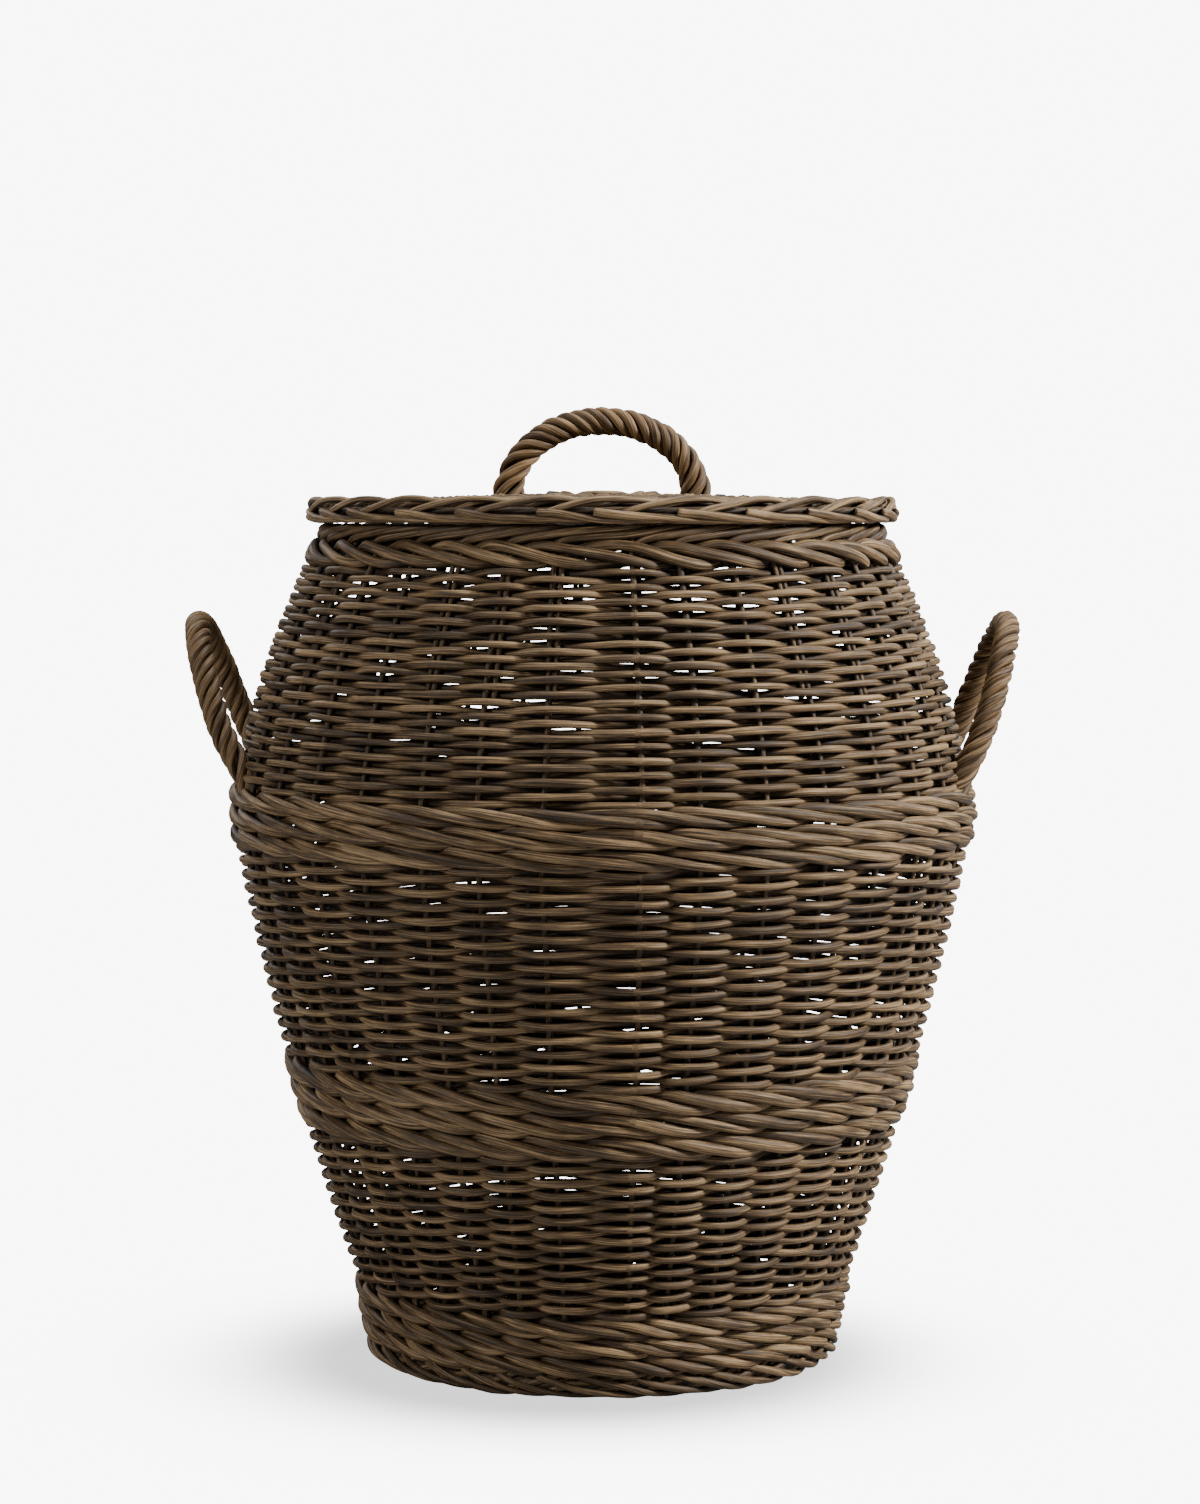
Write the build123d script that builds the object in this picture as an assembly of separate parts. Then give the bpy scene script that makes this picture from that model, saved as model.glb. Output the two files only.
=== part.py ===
"""Woven laundry basket with a lift-off lid. Millimetres, +Z up, the foot stands on z = 0.

Every woven band is a plain closed shell whose channels hold the upright stakes, and every
twisted rope handle is a plain sleeve round its rod.
"""

import os
from math import atan2, cos, hypot, radians, sin

from build123d import *

# Stakes: the upright rods that the bands are woven round
STAKE_COUNT = 34
STAKE_D = 4.0
STAKE_TURN = -86.5  # first stake, beside the front, in degrees from +X
FIT = 0.2  # radial room round a rod in its channel
JOIN = 0.06  # room between one band and the next

# Stake line, as (radius, height): foot, base of the belly, waist, rim
FOOT_POINT = (152.0, 8.5)
BELLY_POINT = (162.0, 58.0)
WAIST_POINT = (244.8, 369.0)
RIM_POINT = (186.5, 552.0)
BELLY_BULGE = 6.0
SHOULDER_BULGE = 7.8
BEND_R = 50.0  # the stake's bends at the base of the belly and at the waist
PEG_TOP = 560.0

# Band heights
BORDER_TOP = 15.0
FOOT_WALE_TOP = 54.0
LOWER_WEAVE_TOP = 163.0
LOWER_WALE_TOP = 208.0
MIDDLE_WEAVE_TOP = 350.0
WAIST_WALE_TOP = 388.0
UPPER_WEAVE_TOP = 534.0
RIM_WALE_TOP = 553.0
RIM_TOP = 563.2

WEAVE_T = 13.0  # wall thickness of a plain weave
WALE_T = 16.4  # thickness of a three-rod wale over its rounds
GROOVE_T = 12.4  # thickness between two rounds
WALE_ROUNDS = 3

# Base
BASE_BOTTOM, BASE_TOP, BASE_R = 15.5, 28.5, 144.0
BASE_STICK_R = 139.0
BASE_ALONG, BASE_ACROSS = 8, 9
BASE_STICK_D = 4.0

# Lid
LID_BOTTOM = 563.4
LID_BORDER_R, LID_BORDER_IN_R, LID_BORDER_H = 198.6, 178.5, 18.0
LID_WALE_IN_R = 168.0
LID_T = 13.0
LID_EDGE_TOP, LID_CENTRE_TOP = 578.6, 584.0
LID_ALONG, LID_ACROSS = 6, 7
LID_STICK_D = 3.8
LID_STICK_R = 188.0

# Handles
ROPE_D = 17.4
CORE_D = 7.0
LID_HANDLE_HALF, LID_HANDLE_TOP = 63.0, 630.4
SIDE_HANDLE_HALF, SIDE_HANDLE_RISE = 62.0, 118.0
SIDE_HANDLE_FOOT = (236.0, 380.0)
SIDE_HANDLE_LEAN = 17.5
CORE_DEPTH = 8.0


def arc_data(low, high, bulge):
    """Centre and radius of the arc from low to high that bulges outward."""
    chord = hypot(high[0] - low[0], high[1] - low[1])
    radius = chord * chord / (8 * bulge) + bulge / 2
    across = ((high[1] - low[1]) / chord, (low[0] - high[0]) / chord)
    middle = ((low[0] + high[0]) / 2, (low[1] + high[1]) / 2)
    back = radius - bulge
    return (middle[0] - back * across[0], middle[1] - back * across[1]), radius


BELLY_ARC = arc_data(BELLY_POINT, WAIST_POINT, BELLY_BULGE)
SHOULDER_ARC = arc_data(WAIST_POINT, RIM_POINT, SHOULDER_BULGE)


def wall_frame(z):
    """Stake line radius at height z, with the wall's outward normal there."""
    if z <= BELLY_POINT[1]:
        slope = (BELLY_POINT[0] - FOOT_POINT[0]) / (BELLY_POINT[1] - FOOT_POINT[1])
        angle = atan2(slope, 1)
        return FOOT_POINT[0] + slope * (z - FOOT_POINT[1]), cos(angle), -sin(angle)
    (centre_r, centre_z), radius = BELLY_ARC if z <= WAIST_POINT[1] else SHOULDER_ARC
    rise = (z - centre_z) / radius
    reach = (1 - rise * rise) ** 0.5
    return centre_r + radius * reach, reach, rise


def wall_point(z, offset):
    """Point at a distance outward from the stake line, in the XZ plane."""
    r, out_r, out_z = wall_frame(z)
    return r + offset * out_r, 0, z + offset * out_z


def ring(edges):
    """Solid of revolution about Z from a closed chain of edges."""
    return revolve(make_face(Wire(edges)), Axis.Z, 360)


def weave_band(low, high):
    """Plain shell for one zone of over-and-under weave."""
    low, high, half = low + JOIN, high - JOIN, WEAVE_T / 2
    mid = (low + high) / 2
    outer = [wall_point(z, half) for z in (low, mid, high)]
    inner = [wall_point(z, -half) for z in (high, mid, low)]
    return ring(
        [
            ThreePointArc(*outer),
            Line(outer[2], inner[0]),
            ThreePointArc(*inner),
            Line(inner[2], outer[0]),
        ]
    )


def wale_band(low, high, rounds=WALE_ROUNDS):
    """Thicker shell with one rounded rib for each round of the wale."""
    low, high = low + JOIN, high - JOIN
    step = (high - low) / rounds
    heights = [low + i * step for i in range(rounds + 1)]
    outer = [
        ThreePointArc(
            wall_point(z, GROOVE_T / 2),
            wall_point(z + step / 2, WALE_T / 2),
            wall_point(z + step, GROOVE_T / 2),
        )
        for z in heights[:-1]
    ]
    inner = [
        ThreePointArc(
            wall_point(z + step, -GROOVE_T / 2),
            wall_point(z + step / 2, -WALE_T / 2),
            wall_point(z, -GROOVE_T / 2),
        )
        for z in reversed(heights[:-1])
    ]
    top = Line(outer[-1] @ 1, inner[0] @ 0)
    bottom = Line(inner[-1] @ 1, outer[0] @ 0)
    return ring([*outer, top, *inner, bottom])


def stake_line():
    """Path of one stake in the XZ plane, with the waist eased."""
    with BuildLine(Plane.XZ) as path:
        Line(FOOT_POINT, BELLY_POINT)
        for low, high in ((BELLY_POINT, WAIST_POINT), (WAIST_POINT, RIM_POINT)):
            mid = (low[1] + high[1]) / 2
            ThreePointArc(low, (wall_frame(mid)[0], mid), high)
        _, out_r, out_z = wall_frame(RIM_POINT[1])
        rise = PEG_TOP - RIM_POINT[1]
        Line(RIM_POINT, (RIM_POINT[0] - rise * out_z / out_r, PEG_TOP))
        bends = path.vertices().sort_by(Axis.Z)[1:3]
        for bend in bends:
            fillet(bend, BEND_R)
    return path.wire()


def rod(path, diameter):
    """Round rod along a path."""
    start = Plane(origin=path @ 0, z_dir=path % 0)
    return sweep(start * Circle(diameter / 2), path=path, transition=Transition.ROUND)


def square_room(path, width):
    """Square channel along a path in the XZ plane."""
    start = Plane(origin=path @ 0, x_dir=(0, 1, 0), z_dir=path % 0)
    return sweep(start * Rectangle(width, width), path=path)


def turned(solid, count, first):
    """Copies spaced evenly about Z."""
    return [solid.rotate(Axis.Z, first + 360 / count * i) for i in range(count)]


def foot_border():
    """Ring that the basket stands on, with its lower outer corner rounded."""
    corner, floor_in, floor_out = (159.4, 0, 9.0), (145.0, 0, 0), (152.5, 0, 0)
    top_out, top_in = (wall_point(BORDER_TOP - JOIN, side) for side in (7.2, -7.2))
    return ring(
        [
            Line(floor_in, floor_out),
            ThreePointArc(floor_out, (157.2, 0, 3.6), corner),
            Line(corner, top_out),
            Line(top_out, top_in),
            ThreePointArc(top_in, (143.0, 0, 8.0), floor_in),
        ]
    )


def rim_border():
    """Ring that closes the mouth, lying inside the pegs."""
    low, high = RIM_WALE_TOP + 0.8, RIM_TOP
    mid = (low + high) / 2
    return ring(
        [
            Line((179.5, 0, low), (188.0, 0, low)),
            ThreePointArc((188.0, 0, low), (192.4, 0, mid), (188.6, 0, high)),
            Line((188.6, 0, high), (179.0, 0, high)),
            ThreePointArc((179.0, 0, high), (175.0, 0, mid), (179.5, 0, low)),
        ]
    )


def rim_wale():
    """Single round between the upper weave and the rim border."""
    low, high = UPPER_WEAVE_TOP + JOIN, RIM_WALE_TOP - JOIN
    mid = (low + high) / 2
    foot_out, foot_in = wall_point(low, GROOVE_T / 2), wall_point(low, -GROOVE_T / 2)
    return ring(
        [
            ThreePointArc(foot_out, (199.4, 0, mid + 2.0), (194.0, 0, high + 0.7)),
            Line((194.0, 0, high + 0.7), (180.6, 0, high + 0.7)),
            ThreePointArc((180.6, 0, high + 0.7), (181.6, 0, mid - 2.0), foot_in),
            Line(foot_in, foot_out),
        ]
    )


def stick_paths(along, across, pitch, reach, low_z, high_z, drop):
    """Rods that cross as a square at the centre and spread to even angles."""
    spread = 360 / (2 * (along + across))
    sets = []
    for count, z, turn in ((along, low_z, 0), (across, high_z, 90)):
        other = across if turn == 0 else along
        straight = pitch * other / 2 + 2
        paths = []
        for i in range(count):
            offset = (i - (count - 1) / 2) * pitch
            angle = radians((i - (count - 1) / 2) * spread)
            tip = (reach * cos(angle), reach * sin(angle), z - drop)
            knee = (straight, offset, z)
            points = [
                (-tip[0], tip[1], tip[2]),
                (-knee[0], knee[1], z),
                knee,
                tip,
            ]
            line = FilletPolyline(*points, radius=8) if offset or drop else Line(points[0], tip)
            paths.append(Wire(line.edges()).rotate(Axis.Z, turn))
        sets.append(paths)
    return sets


def base_paths():
    """Stick paths of the base."""
    return stick_paths(BASE_ALONG, BASE_ACROSS, 4.8, BASE_STICK_R, 19.6, 24.4, 0)


def lid_paths():
    """Stick paths of the lid, which fall towards the edge with its dome."""
    return stick_paths(LID_ALONG, LID_ACROSS, 4.6, LID_STICK_R, 575.2, 579.6, 4.6)


def disc(radius, bottom, top, dome=0.0):
    """Round plate whose two faces rise together towards the centre."""
    if not dome:
        return ring(
            [
                Line((0, 0, bottom), (radius, 0, bottom)),
                Line((radius, 0, bottom), (radius, 0, top)),
                Line((radius, 0, top), (0, 0, top)),
                Line((0, 0, top), (0, 0, bottom)),
            ]
        )
    sphere = (radius * radius + dome * dome) / (2 * dome)
    half = radius / 2
    part = dome - sphere + (sphere * sphere - half * half) ** 0.5
    return ring(
        [
            ThreePointArc((0, 0, bottom + dome), (half, 0, bottom + part), (radius, 0, bottom)),
            Line((radius, 0, bottom), (radius, 0, top)),
            ThreePointArc((radius, 0, top), (half, 0, top + part), (0, 0, top + dome)),
            Line((0, 0, top + dome), (0, 0, bottom + dome)),
        ]
    )


def lid_plate():
    """Domed woven middle of the lid, before its channels."""
    dome = LID_CENTRE_TOP - LID_EDGE_TOP
    return disc(LID_WALE_IN_R - JOIN, LID_EDGE_TOP - LID_T, LID_EDGE_TOP, dome)


def lid_wale():
    """Ring between the lid's woven middle and its border."""
    low, high = LID_EDGE_TOP - LID_T - 0.6, LID_EDGE_TOP + 0.8
    inner, outer = LID_WALE_IN_R, LID_BORDER_IN_R - JOIN
    mid = (inner + outer) / 2
    return ring(
        [
            ThreePointArc((inner, 0, low + 1), (mid, 0, low), (outer, 0, low + 1)),
            Line((outer, 0, low + 1), (outer, 0, high - 1)),
            ThreePointArc((outer, 0, high - 1), (mid, 0, high), (inner, 0, high - 1)),
            Line((inner, 0, high - 1), (inner, 0, low + 1)),
        ]
    )


def lid_border():
    """Plaited edge of the lid as a plain rounded ring that rests on the rim."""
    low, high = LID_BOTTOM, LID_BOTTOM + LID_BORDER_H
    mid = (low + high) / 2
    inner, outer = LID_BORDER_IN_R, LID_BORDER_R
    flat_in, flat_out = inner + 3.5, outer - 7
    return ring(
        [
            Line((flat_in, 0, low), (flat_out, 0, low)),
            ThreePointArc((flat_out, 0, low), (outer, 0, mid), (flat_out, 0, high)),
            Line((flat_out, 0, high), (flat_in, 0, high)),
            ThreePointArc((flat_in, 0, high), (flat_in - 1.2, 0, high - 0.6), (inner, 0, high - 3)),
            Line((inner, 0, high - 3), (inner, 0, low + 3)),
            ThreePointArc((inner, 0, low + 3), (flat_in - 1.2, 0, low + 0.6), (flat_in, 0, low)),
        ]
    )


def arch(half_span, rise, depth):
    """Half-ellipse with straight legs below it, in the XZ plane."""
    crown = EllipticalCenterArc((0, 0, 0), half_span, rise, start_angle=0, arc_size=180)
    crown = crown.rotate(Axis.X, 90)
    right = Line((half_span, 0, -depth), (half_span, 0, 0))
    left = Line((-half_span, 0, 0), (-half_span, 0, -depth))
    return Wire([right, *crown.edges(), left])


def place_side(solid, side):
    """Moves an arch from the XZ plane to the basket's side, leaning outward."""
    solid = solid.rotate(Axis.Z, 90).rotate(Axis.Y, SIDE_HANDLE_LEAN)
    solid = solid.moved(Location((SIDE_HANDLE_FOOT[0], 0, SIDE_HANDLE_FOOT[1])))
    return solid if side > 0 else solid.rotate(Axis.Z, 180)


def handle_parts(half_span, rise, depth, gap=0.05):
    """Rod of a handle, the rope sleeve round it, and the room the rod needs."""
    path = arch(half_span, rise, depth)
    core = rod(path, CORE_D)
    room = rod(path, CORE_D + 2 * gap)
    sleeve = rod(path, ROPE_D) - room
    return core, sleeve, room


def save(name, *solids):
    """Writes one node."""
    shape = solids[0] if len(solids) == 1 else Compound(children=list(solids))
    shape.label = name
    export_step(shape, f"parts/{name}.step")


def as_solids(shape):
    """Solids of a shape, largest first."""
    return sorted(shape.solids(), key=lambda s: -s.volume)


def cut(shape, tools):
    """Shape less its channels, as one solid."""
    return as_solids(shape.cut(*tools))[0]


def main():
    """Builds and writes every node."""
    os.makedirs("parts", exist_ok=True)

    line = stake_line()
    stakes = turned(as_solids(rod(line, STAKE_D))[0], STAKE_COUNT, STAKE_TURN)
    channel = as_solids(square_room(line, STAKE_D + 2 * FIT))[0]
    channels = turned(channel, STAKE_COUNT, STAKE_TURN)
    save("side_stakes", *stakes)

    core, sleeve, room = handle_parts(SIDE_HANDLE_HALF, SIDE_HANDLE_RISE, CORE_DEPTH)
    sides = {"right": 1, "left": -1}
    rooms = [as_solids(place_side(room, side))[0] for side in sides.values()]
    waist = wale_band(MIDDLE_WEAVE_TOP, WAIST_WALE_TOP)
    wall = [waist, weave_band(WAIST_WALE_TOP - 2, UPPER_WEAVE_TOP)]
    for name, side in sides.items():
        save(f"side_handle_{name}_core", as_solids(place_side(core, side))[0])
        wrap = place_side(sleeve, side).cut(*wall)
        save(f"side_handle_{name}_wrap", as_solids(wrap)[0])

    bands = {
        "foot_border": foot_border(),
        "foot_wale": wale_band(BORDER_TOP, FOOT_WALE_TOP),
        "lower_weave": weave_band(FOOT_WALE_TOP, LOWER_WEAVE_TOP),
        "lower_wale": wale_band(LOWER_WEAVE_TOP, LOWER_WALE_TOP),
        "middle_weave": weave_band(LOWER_WALE_TOP, MIDDLE_WEAVE_TOP),
        "waist_wale": waist,
        "upper_weave": weave_band(WAIST_WALE_TOP, UPPER_WEAVE_TOP),
        "rim_wale": rim_wale(),
        "rim_border": rim_border(),
    }
    for name, band in bands.items():
        tools = channels + (rooms if name in ("waist_wale", "upper_weave") else [])
        save(name, cut(band, tools))

    base_low, base_high = base_paths()
    base_room = [rod(path, BASE_STICK_D + 2 * FIT) for path in base_low + base_high]
    save("base_sticks_lower", *[as_solids(rod(path, BASE_STICK_D))[0] for path in base_low])
    save("base_sticks_upper", *[as_solids(rod(path, BASE_STICK_D))[0] for path in base_high])
    save("base_weave", cut(disc(BASE_R, BASE_BOTTOM, BASE_TOP), base_room))

    core, sleeve, room = handle_parts(
        LID_HANDLE_HALF, LID_HANDLE_TOP - LID_CENTRE_TOP + 2, CORE_DEPTH
    )
    lift = Location((0, 0, LID_CENTRE_TOP - 2))
    core, sleeve, room = core.moved(lift), sleeve.moved(lift), room.moved(lift)
    lid_low, lid_high = lid_paths()
    lid_room = [rod(path, LID_STICK_D + 2 * FIT) for path in lid_low + lid_high]
    save("lid_sticks_lower", *[as_solids(rod(path, LID_STICK_D))[0] for path in lid_low])
    save("lid_sticks_upper", *[as_solids(rod(path, LID_STICK_D))[0] for path in lid_high])
    save("lid_weave", cut(lid_plate(), [*lid_room, room]))
    save("lid_wale", cut(lid_wale(), lid_room))
    save("lid_border", cut(lid_border(), lid_room))
    save("lid_handle_core", as_solids(core)[0])
    save("lid_handle_wrap", as_solids(sleeve.cut(lid_plate()))[0])


if __name__ == "__main__":
    main()
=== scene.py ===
"""Woven laundry basket with a lift-off lid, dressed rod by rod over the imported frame.

Every rod is a tube swept along a path. All the paths of one piece are worked out together as
arrays, in millimetres, and become one mesh in metres.
"""

import logging
from dataclasses import dataclass, field
from enum import Enum
from math import log, radians

import bpy
import numpy as np
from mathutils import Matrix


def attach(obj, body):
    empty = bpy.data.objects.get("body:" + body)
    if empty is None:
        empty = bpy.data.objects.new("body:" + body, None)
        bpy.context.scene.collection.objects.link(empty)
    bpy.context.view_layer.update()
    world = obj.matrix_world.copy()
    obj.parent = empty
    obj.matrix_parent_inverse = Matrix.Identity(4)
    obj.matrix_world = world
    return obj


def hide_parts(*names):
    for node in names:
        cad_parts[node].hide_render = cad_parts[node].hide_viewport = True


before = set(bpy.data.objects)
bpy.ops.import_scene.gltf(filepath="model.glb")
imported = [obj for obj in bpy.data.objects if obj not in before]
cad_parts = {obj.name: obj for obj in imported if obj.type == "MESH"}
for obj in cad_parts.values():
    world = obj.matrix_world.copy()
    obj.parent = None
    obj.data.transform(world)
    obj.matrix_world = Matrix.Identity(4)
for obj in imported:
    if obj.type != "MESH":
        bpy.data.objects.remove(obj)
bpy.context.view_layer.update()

LOG = logging.getLogger("basket")
MM = 0.001
SEED = 34

STAKES = 34
STAKE_TURN = -86.5
LID_SPOKES = 26
WIDE_GAP = (1.2, -1.4)  # turn of the stakes on each side of the wider gap, in degrees

# Heights where one band of the side gives way to the next.
BORDER_TOP = 15.5
FOOT_WALE_TOP = 54.0
LOWER_WEAVE_TOP = 163.0
LOWER_WALE_TOP = 208.0
MIDDLE_WEAVE_TOP = 350.0
WAIST_WALE_TOP = 388.0
UPPER_WEAVE_TOP = 534.0
RIM_WALE_TOP = 552.0


class Slot(Enum):
    """Material slots of the row."""

    WEAVER = "weaver"
    WALE = "wale"
    STAKE = "stake"
    BORDER = "border"
    ROPE = "rope"


class Body(Enum):
    """Rigid bodies of the row."""

    BASKET = "basket"
    LID = "lid"


# ---------------------------------------------------------------- surfaces


def upward(points: np.ndarray) -> np.ndarray:
    """Unit vectors along Z.

    Args:
        points: points, with a last axis of three.

    Returns:
        One vector for each point.
    """
    return np.broadcast_to([0.0, 0.0, 1.0], points.shape)


@dataclass(frozen=True)
class Wall:
    """Stake line of the basket's side, turned about Z.

    Two arcs meet at the waist, over a straight foot. A place on it is an angle and a height.

    Attributes:
        foot: radius and height of the foot.
        belly: where the straight foot meets the lower arc.
        waist: the widest place, where the two arcs meet.
        rim: upper end of the upper arc.
        belly_bulge: how far the lower arc stands out from its chord.
        shoulder_bulge: the same for the upper arc.
        ease: half the height over which the bends are rounded.
        settle: share of the normal's upward part that a place follows.
    """

    foot: tuple[float, float] = (152.0, 8.5)
    belly: tuple[float, float] = (162.0, 58.0)
    waist: tuple[float, float] = (244.8, 369.0)
    rim: tuple[float, float] = (186.5, 552.0)
    belly_bulge: float = 6.0
    shoulder_bulge: float = 7.8
    ease: float = 9.0
    settle: float = 0.62

    @staticmethod
    def _arc(low: tuple[float, float], high: tuple[float, float], bulge: float) -> tuple[float, ...]:
        """Finds an arc's centre and radius from its ends and its bulge.

        Args:
            low: radius and height of the lower end.
            high: radius and height of the upper end.
            bulge: how far the arc stands out from its chord.

        Returns:
            The centre's radius and height, and the arc's radius.
        """
        run, rise = high[0] - low[0], high[1] - low[1]
        chord = np.hypot(run, rise)
        radius = chord * chord / (8 * bulge) + bulge / 2
        back = (radius - bulge) / chord
        return (
            (low[0] + high[0]) / 2 - back * rise,
            (low[1] + high[1]) / 2 + back * run,
            radius,
        )

    def _radius(self, z: np.ndarray) -> np.ndarray:
        """Radius of the stake line at each height.

        Args:
            z: heights.

        Returns:
            Radii, one for each height.
        """
        slope = (self.belly[0] - self.foot[0]) / (self.belly[1] - self.foot[1])
        straight = self.foot[0] + slope * (z - self.foot[1])
        arcs = []
        for low, high, bulge in (
            (self.belly, self.waist, self.belly_bulge),
            (self.waist, self.rim, self.shoulder_bulge),
        ):
            centre_r, centre_z, radius = self._arc(low, high, bulge)
            arcs.append(centre_r + np.sqrt(np.maximum(radius**2 - (z - centre_z) ** 2, 0)))
        return np.where(z < self.belly[1], straight, np.where(z < self.waist[1], *arcs))

    def profile(self, z: np.ndarray) -> tuple[np.ndarray, np.ndarray, np.ndarray]:
        """Eased stake line with its outward normal.

        Args:
            z: heights.

        Returns:
            Radius, and the normal's outward and upward parts.
        """
        low, high = self._radius(z - self.ease), self._radius(z + self.ease)
        radius = 0.5 * self._radius(z) + 0.25 * (low + high)
        slope = (high - low) / (2 * self.ease)
        size = np.sqrt(1 + slope**2)
        return radius, 1 / size, -slope / size

    def place(self, theta: np.ndarray, s: np.ndarray, out: np.ndarray) -> tuple[np.ndarray, np.ndarray]:
        """Points at a distance outward from the stake line.

        They rise and fall by only a share of the normal's upward part, because rows that are
        packed tight settle level with each other.

        Args:
            theta: angles about Z.
            s: heights.
            out: distances outward.

        Returns:
            Points and unit normals, each with a last axis of three.
        """
        radius, normal_r, normal_z = self.profile(s)
        at = radius + out * normal_r
        cos, sin = np.cos(theta), np.sin(theta)
        points = np.stack([at * cos, at * sin, s + self.settle * out * normal_z], -1)
        normals = np.stack([normal_r * cos, normal_r * sin, normal_z + 0 * cos], -1)
        return points, normals


@dataclass(frozen=True)
class Disc:
    """Middle surface of a round flat piece, domed by a parabola.

    A place on it is an angle and a radius.

    Attributes:
        centre_z: height at the centre.
        drop: how much lower it lies at its radius.
        radius: the radius at which the drop is reached.
    """

    centre_z: float
    drop: float
    radius: float

    def height(self, s: np.ndarray) -> np.ndarray:
        """Height of the middle surface at each radius.

        Args:
            s: radii.

        Returns:
            Heights.
        """
        return self.centre_z - self.drop * (s / self.radius) ** 2

    def place(self, theta: np.ndarray, s: np.ndarray, out: np.ndarray) -> tuple[np.ndarray, np.ndarray]:
        """Points at a distance above the middle surface.

        Args:
            theta: angles about Z.
            s: radii.
            out: distances upward.

        Returns:
            Points and unit normals.
        """
        points = np.stack([s * np.cos(theta), s * np.sin(theta), self.height(s) + out], -1)
        return points, upward(points)


# ---------------------------------------------------------------- rods

GRAIN_STEP = 7.31  # shift of the grain from one rod to the next
END_SHRINK = 0.72  # size of a cut end's last section
END_REACH = 0.3  # how far that section stands out, in radii


@dataclass
class Rods:
    """Paths of the rods of one piece, as arrays of rods by samples.

    Attributes:
        centre: points along each rod, in millimetres.
        facing: the direction that each rod's thin side faces.
        across: half the width across the facing direction.
        depth: half the thickness along it.
        shade: lightness of the rod, 0 to 1, lowered, also below 0, where painted shade darkens the parts
            that lie back.
        closed: whether each rod joins its own start.
    """

    centre: np.ndarray
    facing: np.ndarray
    across: np.ndarray
    depth: np.ndarray
    shade: np.ndarray
    closed: bool = True

    def capped(self) -> "Rods":
        """Adds a smaller section just past each end of open rods, so the cuts look rounded.

        Returns:
            Rods with one more sample at each end.
        """
        start = self.centre[:, :1] - self.centre[:, 1:2]
        end = self.centre[:, -1:] - self.centre[:, -2:-1]
        start = start / np.linalg.norm(start, axis=-1, keepdims=True)
        end = end / np.linalg.norm(end, axis=-1, keepdims=True)
        first = self.centre[:, :1] + END_REACH * self.across[:, :1, None] * start
        last = self.centre[:, -1:] + END_REACH * self.across[:, -1:, None] * end

        def longer(values: np.ndarray, scale: float) -> np.ndarray:
            """Repeats the end samples, scaled.

            Args:
                values: rods by samples.
                scale: factor on the new samples.

            Returns:
                The values with one more sample at each end.
            """
            return np.concatenate([scale * values[:, :1], values, scale * values[:, -1:]], 1)

        return Rods(
            np.concatenate([first, self.centre, last], 1),
            longer(self.facing, 1),
            longer(self.across, END_SHRINK),
            longer(self.depth, END_SHRINK),
            longer(self.shade, 1),
            False,
        )


def tangents(centre: np.ndarray, closed: bool) -> np.ndarray:
    """Unit directions along rods, from each sample's two neighbours.

    Args:
        centre: points along each rod.
        closed: whether the rods are loops.

    Returns:
        Unit vectors in the shape of centre.
    """
    if closed:
        along = np.roll(centre, -1, 1) - np.roll(centre, 1, 1)
    else:
        along = np.gradient(centre, axis=1)
    return along / np.linalg.norm(along, axis=-1, keepdims=True)


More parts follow.
